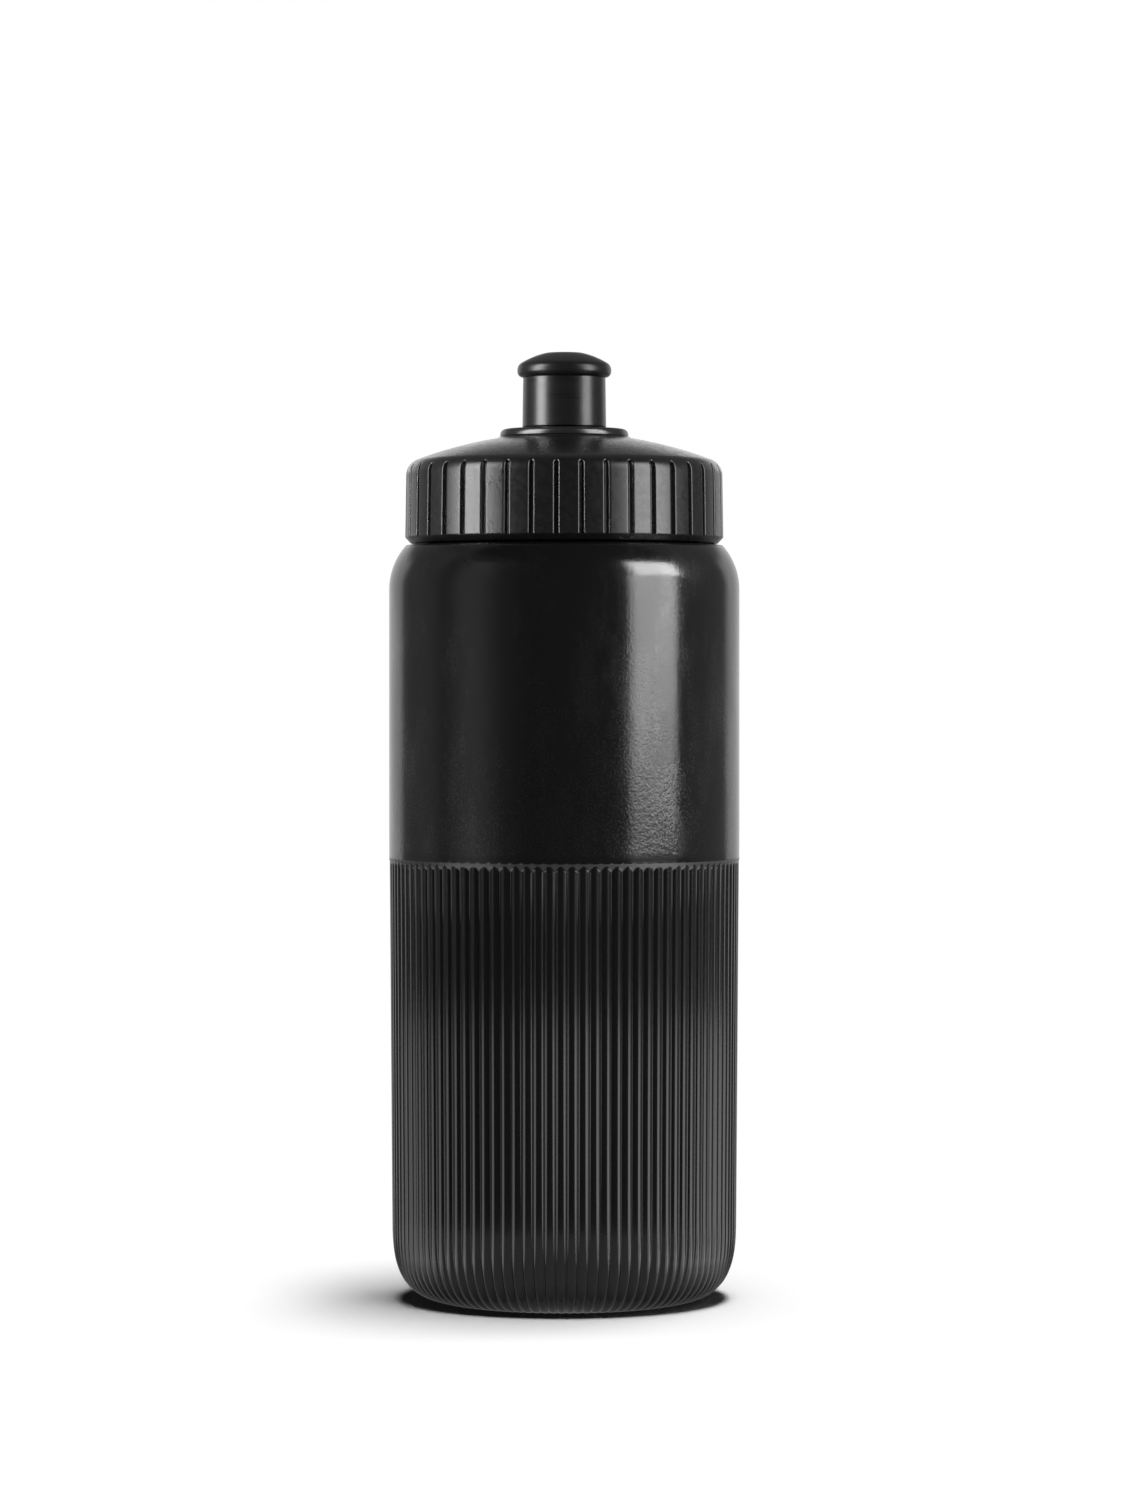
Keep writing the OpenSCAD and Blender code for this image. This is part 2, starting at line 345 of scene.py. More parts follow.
def wall_finish():
    """Gloss black with upright waves, orange peel, a fine grain and dull scuffs, and a painted
    sheen: a lighter colour on the slopes between the rib points.
    """
    finish = Finish("bottle_wall", Specular_IOR_Level=0.5, Coat_Roughness=COAT_ROUGHNESS)
    waves = finish.noise(420, 2.0, (1, 1, 0.03))
    peel = finish.noise(1100, 2.0)
    grain = finish.noise(2400, 2.0)
    clouds = finish.noise(45, 4.0, roughness=0.6)
    scuffs = finish.noise(130, 7.0, (1, 1, 0.35), 0.68)
    painted_sheen_slope = finish.attribute("rib_edge_painted_sheen")
    height = finish.along("Z")
    smooth = height.above(SMOOTH_FROM, SMOOTH_FULL)
    low = smooth * (1 - height.above(PEEL_FULL, PEEL_NONE))
    # Painted sheen: the slopes between the rib points get a lighter base colour for the light they
    # catch.
    finish.tint(painted_sheen_slope, (0.0034, 0.0034, 0.0035), (0.022, 0.022, 0.0224))
    finish.gloss(0.09 + 0.04 * clouds + 0.06 * grain * smooth + 0.25 * painted_sheen_slope)
    speckle = grain.above(0.48, 0.64) * (0.09 * smooth + 0.2 * low)
    finish.haze(speckle + 0.4 * scuffs.above(0.47, 0.7) * smooth)
    finish.relief(0.2 * waves + 0.45 * peel * low + 0.3 * grain * smooth, 0.00006)
    return finish.material


# %% [markdown]
# ## Finishes of the lid and the spout
#
# The lid and the sleeve come from moulds with a satin, spark-eroded face: a wide soft
# highlight with a fine grain. The sleeve's mould was turned on a lathe, so its grain lies
# in fine rings. The flange and the soft tip are polished. The hidden seals are grey rubber.

# %% Lid and spout finishes
def lid_finish():
    """Satin black with a fine grain and a soft mottle."""
    finish = Finish("lid_satin", Specular_IOR_Level=0.5)
    grain = finish.noise(1900, 3.0, roughness=0.6)
    mottle = finish.noise(800, 4.0, roughness=0.65)
    worn = finish.noise(160, 3.0)
    finish.tint(mottle.above(0.3, 0.7), (0.003, 0.003, 0.0031), (0.0048, 0.0048, 0.0049))
    finish.gloss(0.25 + 0.05 * mottle.above(0.44, 0.6) + 0.05 * worn)
    finish.relief(0.75 * grain + 0.25 * mottle, 0.000014)
    return finish.material


def sleeve_finish():
    """Satin black with fine turned rings."""
    finish = Finish("sleeve_satin", Specular_IOR_Level=0.5)
    rings = finish.noise(2300, 2.0, (0.03, 0.03, 1))
    grain = finish.noise(3800, 2.0)
    finish.tint(rings.above(0.3, 0.7), (0.0045, 0.0045, 0.0047), (0.007, 0.007, 0.0072))
    finish.gloss(0.25 + 0.08 * rings)
    finish.relief(0.75 * rings + 0.25 * grain, 0.00004)
    return finish.material


def polished_finish(name, gloss, shade, specular=0.5):
    """Polished black with a very slight ripple."""
    finish = Finish(name, Specular_IOR_Level=specular)
    ripple = finish.noise(900, 2.0)
    haze = finish.noise(350, 3.0)
    finish.tint(haze, (shade, shade, shade * 1.03), (shade * 1.3, shade * 1.3, shade * 1.33))
    finish.gloss(gloss + 0.08 * haze)
    finish.relief(ripple, 0.00001)
    return finish.material


def seal_finish():
    """Matt grey rubber with a fine bloom."""
    finish = Finish("seal", Specular_IOR_Level=0.4)
    bloom = finish.noise(900, 3.0)
    finish.tint(bloom, (0.055, 0.055, 0.058), (0.085, 0.085, 0.088))
    finish.gloss(0.6 + 0.15 * bloom)
    finish.relief(finish.noise(5000, 1.0), 0.00001)
    return finish.material


WALL = wall_finish()
LID_SATIN = lid_finish()
SLEEVE_SATIN = sleeve_finish()
SEAT_GLOSS = polished_finish("seat_gloss", 0.19, 0.004)
SOFT_TIP = polished_finish("soft_tip", 0.28, 0.005, 0.45)
SEAL = seal_finish()
print("finishes:", ", ".join(material.name for material in bpy.data.materials))

# %% [markdown]
# ## The ribbed grip
#
# Ninety-eight upright ribs go round the lower wall. Across one rib the wall is an arc of
# a circle, so neighbours meet in a sharp valley. The ribs start under the smooth wall as
# pencil points, run down, turn round the bottom corner and fade out at the base ring.
# The whole body is one grid: the columns are angles, eight to a rib, and each row is a
# height on the outline. A rib's arc is pushed in along the outline's own normal. The
# small turn in RIB_PHASE sets how the front rib stands to the camera.

# %% Rib section
RIBS = 98
RIB_DEPTH = 0.55
RIB_PHASE = math.radians(-90 + 0.7)
RIB_SAMPLES = np.array([-1, -0.86, -0.6, -0.3, 0, 0.3, 0.6, 0.86])
half_rib = math.pi * BODY_R / RIBS
rib_arc_r = (half_rib**2 + RIB_DEPTH**2) / (2 * RIB_DEPTH)
across = np.tile(RIB_SAMPLES, RIBS)
rib_turn = (np.repeat(np.arange(RIBS), len(RIB_SAMPLES)) + (across + 1) / 2) * 2 * math.pi / RIBS
wall_angle = RIB_PHASE + rib_turn
sink = rib_arc_r - np.sqrt(rib_arc_r**2 - (across * half_rib) ** 2)
print(f"rib pitch {2 * half_rib:.2f} mm, arc radius {rib_arc_r:.2f} mm, {len(wall_angle)} columns")

# %% [markdown]
# ## The body's outline
#
# The outline is drawn at the rib crests. It starts on the axis under the pushed-up base,
# crosses the ring that the bottle stands on, turns up round the corner (a superellipse,
# which is a little squarer than a circle) and follows the wall, which widens slightly.
# The smooth wall's lower edge curves in faster and faster. It is kept as a floor: where a
# rib would sink below it, the edge shows instead, and that draws the pencil points. The
# rows are close together over TIP_REACH, where the points are, and three rows just above
# them keep the smooth wall's shading straight.

# %% Body outline
CREST_TOP_R = BODY_R - 0.1
CREST_LOW_R = BODY_R - 0.65
CORNER_H = 18.0
CORNER_POWER = 2 / 3
BASE_RING_R = 22.05
PUSH_UP = 7.0
WALL_T = 1.6
SHOULDER_R = 14.0
SHOULDER_Z = 149.6
NECK_R = 29.0
MOUTH_R = 27.2
EDGE_DROP = 1.5
EDGE_POWER = 1.5
EDGE_BLEND = 0.05
TIP_REACH = 1.7
RIB_FADE = (24.0, 31.0)

push_r = (BASE_RING_R**2 + PUSH_UP**2) / (2 * PUSH_UP)
push_z = PUSH_UP - push_r
shoulder_in = BODY_R - SHOULDER_R
lid_shelf = LID_LOW - 0.4
shelf_turn = math.degrees(math.asin((lid_shelf - SHOULDER_Z) / SHOULDER_R))


def foot_corner(wall_r, top, floor, inner_r, steps):
    """Superellipse corner from the base ring up to the wall. With t from 0 to a quarter turn
    and p the corner power, the radius falls short of the wall by 1 - sin(t)^p of the way in,
    and the height stands 1 - cos(t)^p of the way up."""
    t = np.linspace(0, math.pi / 2, steps + 1)
    radius = wall_r - (wall_r - inner_r) * (1 - np.sin(t) ** CORNER_POWER)
    height = floor + (top - floor) * (1 - np.cos(t) ** CORNER_POWER)
    return np.c_[radius, height]


def crest_radius(height):
    """The crests widen evenly up the wall."""
    return CREST_LOW_R + (CREST_TOP_R - CREST_LOW_R) * (height - CORNER_H) / (RIB_TOP - CORNER_H)


push_edge = math.degrees(math.asin((BASE_RING_R - 1.2) / push_r))
push_dome = arc((0, push_z), push_r, 90, 90 - push_edge, 7)
ring_bend = np.array([[BASE_RING_R - 0.55, 0.3], [BASE_RING_R + 0.15, 0.04]])
corner = foot_corner(CREST_LOW_R, CORNER_H, 0.0, BASE_RING_R + 0.9, 22)
straight_z = np.linspace(CORNER_H, RIB_TOP - TIP_REACH, 7)[1:]
tip_z = np.linspace(RIB_TOP - TIP_REACH + 0.14, RIB_TOP - 0.02, 14)
straight = np.c_[crest_radius(straight_z), straight_z]
tips = np.c_[crest_radius(tip_z), tip_z]
smooth_z = np.array([RIB_TOP + 0.06, RIB_TOP + 0.3, RIB_TOP + 0.7, 120, SHOULDER_Z - 3])
smooth = np.c_[np.full_like(smooth_z, BODY_R), smooth_z]
shoulder = arc((shoulder_in, SHOULDER_Z), SHOULDER_R, 0, shelf_turn - 4, 12)
shelf_r = shoulder_in + SHOULDER_R * math.cos(math.radians(shelf_turn))
neck = rounded(
    [(shelf_r, lid_shelf), (NECK_R, lid_shelf + 0.1), (NECK_R, NECK_TOP), (MOUTH_R, NECK_TOP),
     (MOUTH_R, lid_shelf - WALL_T), (shelf_r - 1, lid_shelf - WALL_T)],
    [0.8, 0.8, 0.45, 0.35, 0.8, 0.5], 3, closed=False)
inner_shoulder = arc((shoulder_in, SHOULDER_Z), SHOULDER_R - WALL_T, shelf_turn - 8, 0, 6)
inner_wall = np.array([[BODY_R - WALL_T, SHOULDER_Z - 3], [BODY_R - WALL_T, RIB_TOP + 6]])
inner_low_r = CREST_LOW_R - WALL_T
inner_corner = foot_corner(inner_low_r, CORNER_H, WALL_T, BASE_RING_R + 1.2, 8)[::-1]
inner_dome = arc((0, push_z), push_r + WALL_T, 90 - push_edge - 0.6, 90, 7)
ribbed = [push_dome, ring_bend, corner, straight, tips]
plain = [smooth, shoulder, neck, inner_shoulder, inner_wall, inner_corner, inner_dome]
outline = np.vstack(ribbed + plain)
print(f"body outline: {len(outline)} points, base ring radius {BASE_RING_R} mm")

# %% [markdown]
# ## The body's surface
#
# The share of the rib depth is 1 on the wall and eases to 0 on the way to the base ring,
# and it is 0 everywhere above the ribs. Each point moves in by share times sink along
# the normal. A last step keeps the points near the ribs' tops outside the curved edge,
# and notes where it had to; the wall finish paints those places lighter as a painted sheen.

# %% Body surface
run = np.gradient(outline, axis=0)
normal = unit(np.c_[run[:, 1], -run[:, 0]])
order = np.arange(len(outline))
first_corner = len(push_dome) + len(ring_bend)
first_smooth = sum(len(part) for part in ribbed)
on_ribs = (order >= first_corner) & (order < first_smooth)
share = np.where(on_ribs, ease(*RIB_FADE, outline[:, 0]), 0.0)
push = share[:, None] * sink
wall_r = outline[:, :1] - normal[:, :1] * push
wall_z = outline[:, 1:] - normal[:, 1:] * push
below_edge = np.clip(RIB_TOP - outline[:, 1:], 0, None)
edge_r = BODY_R - RIB_DEPTH * (below_edge / EDGE_DROP) ** EDGE_POWER
near_tips = (on_ribs & (outline[:, 1] > RIB_TOP - 2 * EDGE_DROP))[:, None]
rib_edge_painted_sheen = np.where(near_tips, np.clip((edge_r - wall_r) / EDGE_BLEND, 0, 1), 0)[1:-1].ravel()
wall_r = np.where(near_tips, np.maximum(wall_r, edge_r), wall_r)
body_skin = capped_skin(lathe(wall_r, wall_z, wall_angle))

# %% [markdown]
# ## Screw threads
#
# The neck has a two-start thread in separate arcs, with vents between them, and the lid
# has its match inside. One arc is a short beam along a helix: its section is a trapezoid,
# and the beam shrinks to nothing at both ends. All arcs are computed at once, as an array
# of arcs by steps by section points.

# %% Threads
THREAD_LEAD = 8.0
THREAD_ARC = math.radians(22)
ARCS_A_TURN = 12
THREAD_LOW = lid_shelf + 3.2


def thread_skin(root_r, tip_r, low_z):
    """Points of every arc: the angle and height follow the helix, and the section's radius and
    height above the helix are scaled by an end taper of one minus the eighth power."""
    start = np.repeat([0.0, math.pi], ARCS_A_TURN)
    index = np.tile(np.arange(ARCS_A_TURN), 2)
    along = np.linspace(-1, 1, 15)
    taper = np.sqrt(1 - along**8 * 0.98)
    turn = index[:, None] * 2 * math.pi / ARCS_A_TURN + along * THREAD_ARC / 2
    lift = low_z + THREAD_LEAD * turn / (2 * math.pi)
    outward = np.array([-0.3, 0.0, 0.8, 1.0, 1.0, 0.8, 0.0, -0.3])
    upward = np.array([-1.0, -1.0, -0.62, -0.42, 0.42, 0.62, 1.0, 1.0])
    reach = tip_r - root_r
    if reach < 0:
        upward = -upward
    radius = root_r + reach * np.where(outward > 0, outward * taper[:, None], outward)
    height = lift[:, :, None] + upward * taper[:, None]
    points = lathe(radius[None], height, (start[:, None] + turn)[:, :, None])
    arcs, steps, section = points.shape[:3]
    i = np.arange(steps - 1)[:, None]
    j = np.arange(section)[None, :]
    right = (j + 1) % section
    faces = np.stack([i * section + j, (i + 1) * section + j, (i + 1) * section + right,
                      i * section + right], -1).reshape(-1, 4)
    shift = (np.arange(arcs) * steps * section)[:, None, None]
    ends = np.stack([np.arange(section), (steps - 1) * section + np.arange(section)[::-1]])
    polygons = (faces + shift).reshape(-1, 4).tolist() + (ends + shift).reshape(-1, section).tolist()
    return points.reshape(-1, 3), polygons


neck_thread = thread_skin(NECK_R, NECK_R + 1.4, THREAD_LOW)
bottle = make_piece("bottle_body", [body_skin, neck_thread], WALL, "bottle", ["bottle"])
# These marks tell the wall finish where to paint its sheen, a painted highlight between the rib points.
painted_sheen_mark = np.pad(rib_edge_painted_sheen, (0, len(bottle.data.vertices) - len(rib_edge_painted_sheen)))
bottle.data.attributes.new("rib_edge_painted_sheen", "FLOAT", "POINT").data.foreach_set("value", painted_sheen_mark)

# %% [markdown]
# ## The lid
#
# The lid is a domed deck with a skirt of forty narrow upright grooves. In plan a groove is
# a slot with a round upper end, so its depth depends only on the distance from a centre
# line that stops short of the top. The depth eases to nothing at the lip, which gives the
# two bright hairlines beside each groove. Columns crowd together near a groove, and rows
# crowd together at the corner, where the grooves end.

# %% Lid outline
GROOVES = 40
GROOVE_PHASE = math.radians(-92.85)
GROOVE_END = LID_LOW + 15.85
GROOVE_LIP_R = 0.42
GROOVE_HALF = 0.82
LIP_SHARE = 0.85
SLOT_HALF = 0.40
SLOT_DEPTH = 0.62
CHAMFER_H = 1.3
CHAMFER_W = 1.0
CORNER_R = 3.5
DOME_R = 88.0
DECK_T = 2.0
LID_BORE = LID_R - 2.2
LEDGE_Z = NECK_TOP + 1.9
FIN_R = 26.4
HOLE_R = 10.2
SEAT_R = 14.1
skirt_top_r = LID_R - 0.2
corner_x = skirt_top_r - CORNER_R
dome_z = LID_LOW + 23.4 - DOME_R
corner_z = dome_z + math.sqrt((DOME_R - CORNER_R) ** 2 - corner_x**2)
touch = math.degrees(math.asin(corner_x / (DOME_R - CORNER_R)))
seat_turn = math.degrees(math.asin(SEAT_R / DOME_R))
under_r = DOME_R - DECK_T


def under_turn(radius):
    """Angle of the deck's lower face at a radius, in degrees above the horizontal."""
    return 90 - math.degrees(math.asin(radius / under_r))


chamfer_top = LID_LOW + CHAMFER_H
lid_edge = rounded([(LID_BORE + 0.2, LID_LOW), (LID_R - CHAMFER_W - 0.2, LID_LOW),
                    (LID_R - CHAMFER_W + 0.15, LID_LOW + 0.35), (LID_R, chamfer_top),
                    (LID_R, chamfer_top + 0.5)], [0.1, 0.4, 0.3, 0.12, 0.1], 4, closed=False)[:-1]
lid_edge = lid_edge[lid_edge[:, 1] < chamfer_top + 0.005]


def skirt_radius(height):
    """The skirt leans in evenly from the chamfer to the upper corner."""
    return LID_R - (LID_R - skirt_top_r) * (height - chamfer_top) / (corner_z - chamfer_top)


skirt_z = np.array([chamfer_top + 0.02, chamfer_top + 0.3, LID_LOW + 7.5, LID_LOW + 12.5,
                    corner_z - 0.25])
skirt = np.c_[skirt_radius(skirt_z), skirt_z]
lid_corner = np.vstack([arc((corner_x, corner_z), CORNER_R, 0, 30, 15)[:-1],
                        arc((corner_x, corner_z), CORNER_R, 30, 90 - touch, 8)])
dome = arc((0, dome_z), DOME_R, 90 - touch, 90 - seat_turn, 9)[1:]
seat = rounded([dome[-1], (SEAT_R - 0.2, SEAT_Z), (HOLE_R, SEAT_Z), (HOLE_R, SEAT_Z - DECK_T + 0.6)],
               [0.05, 0.1, 0.15, 0.05], 2, closed=False)[1:-1]
under = arc((0, dome_z), under_r, under_turn(HOLE_R), under_turn(FIN_R - 1), 6)
inside = rounded(
    [under[-1], (FIN_R - 1, NECK_TOP - 1.2), (FIN_R, NECK_TOP - 1.2), (FIN_R, LEDGE_Z),
     (LID_BORE, LEDGE_Z), (LID_BORE, LID_LOW), (LID_BORE + 0.2, LID_LOW)],
    [0.3, 0.3, 0.3, 0.3, 0.3, 0.1, 0.1], 3, closed=False)[1:-1]
lid_outline = np.vstack([lid_edge, skirt, lid_corner, dome, seat, under, inside])
print(f"lid outline: {len(lid_outline)} points, corner centre at {corner_x:.1f}, {corner_z:.1f} mm")

# %% [markdown]
# A column's place is its distance aside from the middle of its groove, from the middle of
# one land to the middle of the next.

# %% Lid surface
half_land = math.pi * skirt_top_r / GROOVES
near = np.array([0.2, 0.32, 0.42, 0.5, 0.58, 0.66, 0.74, 0.84, 1.05])
offsets = np.concatenate([[-half_land], -near[::-1], [0.0], near])
aside = np.tile(offsets, GROOVES)
slot = np.repeat(np.arange(GROOVES), len(offsets))
lid_angle = GROOVE_PHASE + slot * 2 * math.pi / GROOVES + aside / skirt_top_r
row = np.arange(len(lid_outline))[:, None]
grooved = (row >= len(lid_edge)) & (row < len(lid_edge) + len(skirt) + len(lid_corner))
away = np.hypot(aside, np.clip(lid_outline[:, 1:] - GROOVE_END, 0, None))
lip = np.clip(GROOVE_HALF - away, 0, LIP_SHARE * GROOVE_LIP_R)
depth = GROOVE_LIP_R - np.sqrt(GROOVE_LIP_R**2 - lip**2)
depth = depth + SLOT_DEPTH * (1 - ease(SLOT_HALF - 0.2, SLOT_HALF + 0.08, away))
lid_r = lid_outline[:, :1] - np.where(grooved & (lip > 0), depth, 0)
lid_skin = ring_skin(lathe(lid_r, lid_outline[:, 1:], lid_angle))
lid_thread = thread_skin(LID_BORE, LID_BORE - 1.7, THREAD_LOW - 1.85)
lid = make_piece("screw_lid", [lid_skin, lid_thread], LID_SATIN, "lid", ["lid"])

# %% [markdown]
# ## Gasket and seals
#
# Three rings keep the bottle tight: a flat one between lid and neck, a small flat one
# under the spout's flange, and an O-ring in the sleeve. They are simple closed outlines.

# %% Gasket and seals
GASKET_BORE = 27.0
SEAT_SEAL_T = 0.75


def flat_ring(inner, outer, low, high):
    """A flat ring with slightly rounded edges."""
    return rounded([(inner, low), (outer, low), (outer, high), (inner, high)], 0.12, 3)


neck_ring = flat_ring(GASKET_BORE, GASKET_R, GASKET_LOW, GASKET_TOP)
make_piece("neck_gasket", [turned(neck_ring)], SEAL, "gasket", ["lid_gasket"])
seat_ring = flat_ring(HOLE_R + 0.1, SEAT_SEAL_R, SEAT_Z - SEAT_SEAL_T, SEAT_Z)
make_piece("flange_seal", [turned(seat_ring)], SEAL, "lid", ["seat_seal"])
wire_r = (O_RING_TOP - O_RING_LOW) / 2
o_ring_outline = arc((O_RING_R - wire_r, O_RING_LOW + wire_r), wire_r, 0, 360, 20)[:-1]
o_ring = make_piece("sleeve_o_ring", [turned(o_ring_outline)], SEAL, "o_ring", ["sleeve_seal"])

# %% [markdown]
# ## The spout's seat
#
# A polished insert snaps into the lid. Its flange shows as the glossy ring round the
# sleeve; under the deck is a barb, and above it stands the hollow post that the sleeve
# slides on. A plug pin stands in the post on three webs and closes the drinking hole.

# %% Spout seat
FLANGE_TOP = SEAT_Z + 1.8
POST_R = 6.4
POST_BORE = 4.6
BEAD_R = 6.95
LIP_TOP = SLEEVE_LOW + 3.4
BEAD_LOW = LIP_TOP + 5.1
POST_TOP = BEAD_LOW + 1.2
PIN_R = 2.84
seat_outline = rounded(
    [(9.0, BARB_LOW), (HOLE_R - 0.15, BARB_LOW), (HOLE_R + 0.6, BARB_LOW + 1.5),
     (HOLE_R - 0.1, BARB_LOW + 1.5), (HOLE_R - 0.1, SEAT_Z), (FLANGE_R, SEAT_Z),
     (FLANGE_R, FLANGE_TOP - 0.15), (9.4, FLANGE_TOP), (POST_R, FLANGE_TOP), (POST_R, BEAD_LOW),
     (BEAD_R, BEAD_LOW), (BEAD_R, POST_TOP), (POST_BORE, POST_TOP), (POST_BORE, SEAT_Z - 0.6),
     (9.0, SEAT_Z - 0.6)],
    [0.2, 0.2, 0.15, 0.1, 0.05, 0.3, 1.15, 1.0, 0.4, 0.1, 0.2, 0.3, 0.3, 0.3, 0.4], 6)
pin_outline = rounded([(0, SEAT_Z - 2), (PIN_R, SEAT_Z - 2), (PIN_R, PIN_TOP), (0, PIN_TOP)],
                      [0, 0.3, 0.8, 0], 5, closed=False)
pin_skin = capped_skin(lathe(pin_outline[:, :1], pin_outline[:, 1:], even_turn(64)))


def web_skin(count, inner, outer, thickness, low, high):
    """Upright plates from the pin to the post, one for each equal share of a turn."""
    turn = np.radians(30) + np.arange(count)[:, None] * 2 * math.pi / count
    along = np.array([inner, outer, outer, inner] * 2)
    sideways = np.array([-1, -1, 1, 1] * 2) * thickness / 2
    up = np.array([low] * 4 + [high] * 4)
    x = along * np.cos(turn) - sideways * np.sin(turn)
    y = along * np.sin(turn) + sideways * np.cos(turn)
    points = np.stack([x, y, np.broadcast_to(up, x.shape)], -1) * MM
    box = np.array([[3, 2, 1, 0], [4, 5, 6, 7], [0, 1, 5, 4], [1, 2, 6, 5], [2, 3, 7, 6], [3, 0, 4, 7]])
    return points.reshape(-1, 3), (box + np.arange(count)[:, None, None] * 8).reshape(-1, 4).tolist()


webs = web_skin(3, PIN_R - 0.3, POST_BORE + 0.3, 1.0, SEAT_Z - 0.5, POST_TOP - 2)
spout_seat = make_piece("spout_seat_insert", [turned(seat_outline), pin_skin, webs],
                        SEAT_GLOSS, "lid", ["spout_seat"])

# %% [markdown]
# ## Sleeve and soft tip
#
# The satin sleeve slides on the post. Its bore has a lip with a groove for the O-ring,
# and the lip stops under the post's bead when the spout is pulled up. The soft tip is a
# dome with a rolled rim, pressed over the spigot at the sleeve's top.

# %% Sleeve and tip
SPIGOT_R = 8.2
SLEEVE_BORE = 7.05
LIP_R = 6.6
LIP_LOW = SLEEVE_LOW + 0.5
O_GROOVE_R = 7.75
O_GROOVE_HALF = 0.8
groove_mid = (O_RING_LOW + O_RING_TOP) / 2
sleeve_outline = rounded(
    [(SLEEVE_BORE, SLEEVE_LOW), (SLEEVE_R, SLEEVE_LOW), (SLEEVE_R - 0.15, TIP_LOW),
     (SPIGOT_R, TIP_LOW), (SPIGOT_R, SPIGOT_TOP), (SLEEVE_BORE, SPIGOT_TOP), (SLEEVE_BORE, LIP_TOP),
     (LIP_R, LIP_TOP), (LIP_R, groove_mid + O_GROOVE_HALF), (O_GROOVE_R, groove_mid + O_GROOVE_HALF),
     (O_GROOVE_R, groove_mid - O_GROOVE_HALF), (LIP_R, groove_mid - O_GROOVE_HALF), (LIP_R, LIP_LOW),
     (SLEEVE_BORE, LIP_LOW)],
    [0.12, 0.25, 0.12, 0.1, 0.2, 0.2] + [0.1] * 8, 4)
sleeve = make_piece("spout_sleeve_body", [turned(sleeve_outline)],
                    SLEEVE_SATIN, "spout", ["spout_sleeve"])

TIP_DOME_R = 17.4
ORIFICE_R = 2.9
TIP_WALL = 1.6
RIM_ROUND = 1.7
RIM_FOOT_ROUND = 1.2
DOME_CUT = 0.45
tip_dome_z = TIP_TOP + DOME_CUT - TIP_DOME_R
rim_x = TIP_R - RIM_ROUND
rim_z = tip_dome_z + math.sqrt((TIP_DOME_R - RIM_ROUND) ** 2 - rim_x**2)
rim_touch = math.degrees(math.asin(rim_x / (TIP_DOME_R - RIM_ROUND)))
lip_touch = math.degrees(math.asin((ORIFICE_R + 1.0) / TIP_DOME_R))
tip_foot = rounded([(SPIGOT_R, TIP_LOW), (TIP_R, TIP_LOW), (TIP_R, rim_z)], [0.1, RIM_FOOT_ROUND, 0.1],
                   7, closed=False)[1:-1]
tip_foot = tip_foot[tip_foot[:, 1] < rim_z - 0.1]
tip_outline = np.vstack([
    tip_foot,
    arc((rim_x, rim_z), RIM_ROUND, 0, 90 - rim_touch, 8),
    arc((0, tip_dome_z), TIP_DOME_R, 90 - rim_touch, 90 - lip_touch, 9)[1:],
    rounded([(ORIFICE_R + 0.8, TIP_TOP), (ORIFICE_R, TIP_TOP), (ORIFICE_R, TIP_TOP - TIP_WALL),
             (SLEEVE_BORE - 0.3, TIP_TOP - TIP_WALL), (SLEEVE_BORE - 0.3, SPIGOT_TOP),
             (SPIGOT_R, SPIGOT_TOP), (SPIGOT_R, TIP_LOW)],
            [0.1, 0.5, 0.2, 0.4, 0.1, 0.1, 0.1], 4, closed=False)[:-1]])
tip = make_piece("soft_mouthpiece", [turned(tip_outline)], SOFT_TIP, "spout", ["mouthpiece"])

# %% [markdown]
# ## Floor, studio light and camera
#
# The bottle stands on a white table. The room on the camera's side is dark, which keeps
# the front of a black gloss bottle black, and a low white wall behind it draws the bright
# lines down both edges. Tall soft boxes stand in front of it on both sides. The table
# itself isn't mirrored in the bottle: glowing cards on it stand in for that, because they
# can be placed and dimmed one by one.

# %% Floor
scene = bpy.context.scene
FLOOR_FRONT = -0.85
FLOOR_BACK = 3.0
FLOOR_SIDE = 2.2
FLOOR_WHITE = (0.93, 0.93, 0.93, 1)


def stage_sheet(name, points, faces, finish):
    """A sheet that isn't part of the bottle."""
    mesh = bpy.data.meshes.new(name)
    mesh.from_pydata(points, [], faces)
    mesh.materials.append(finish)
    sheet = bpy.data.objects.new(name, mesh)
    scene.collection.objects.link(sheet)
    return sheet


table_top = Finish("table_top", Base_Color=FLOOR_WHITE, Roughness=0.9, Specular_IOR_Level=0.0)
table = stage_sheet("table", [(-FLOOR_SIDE, FLOOR_FRONT, 0), (FLOOR_SIDE, FLOOR_FRONT, 0),
                              (FLOOR_SIDE, FLOOR_BACK, 0), (-FLOOR_SIDE, FLOOR_BACK, 0)],
                    [(0, 1, 2, 3)], table_top.material)
table.visible_glossy = False

# %% [markdown]
# Each light is kept to the pieces it is meant for, through a receiver collection. Nine
# nearly overhead lights, three to a row, make the table white and draw the soft shadow
# round the base. The strongest lean to the right, so the shadow is longer on the left.

# %% Table light
LEANS_BACK = (-9, 0, 9)
LEANS_RIGHT = {8: 0.62, 3: 0.32, -4: 0.23}  # degrees to the right: strength
LIGHT_WIDTH = 10


def shine_on(lamp, receivers):
    """Lets a light reach only these pieces."""
    group = bpy.data.collections.new(lamp.name + "_reaches")
    for piece in receivers:
        group.objects.link(piece)
    lamp.light_linking.receiver_collection = group


def table_light(name, right, back, strength):
    """A far light that leans from straight overhead to the right and to the back."""
    lamp = bpy.data.lights.new(name, "SUN")
    lamp.energy = strength
    lamp.angle = math.radians(LIGHT_WIDTH)
    sun = bpy.data.objects.new(name, lamp)
    sun.rotation_euler = (math.radians(-back), math.radians(right), 0)
    scene.collection.objects.link(sun)
    shine_on(sun, [table])


for back in LEANS_BACK:
    for right, strength in LEANS_RIGHT.items():
        table_light(f"table_light_{right}_{back}", right, back, strength)

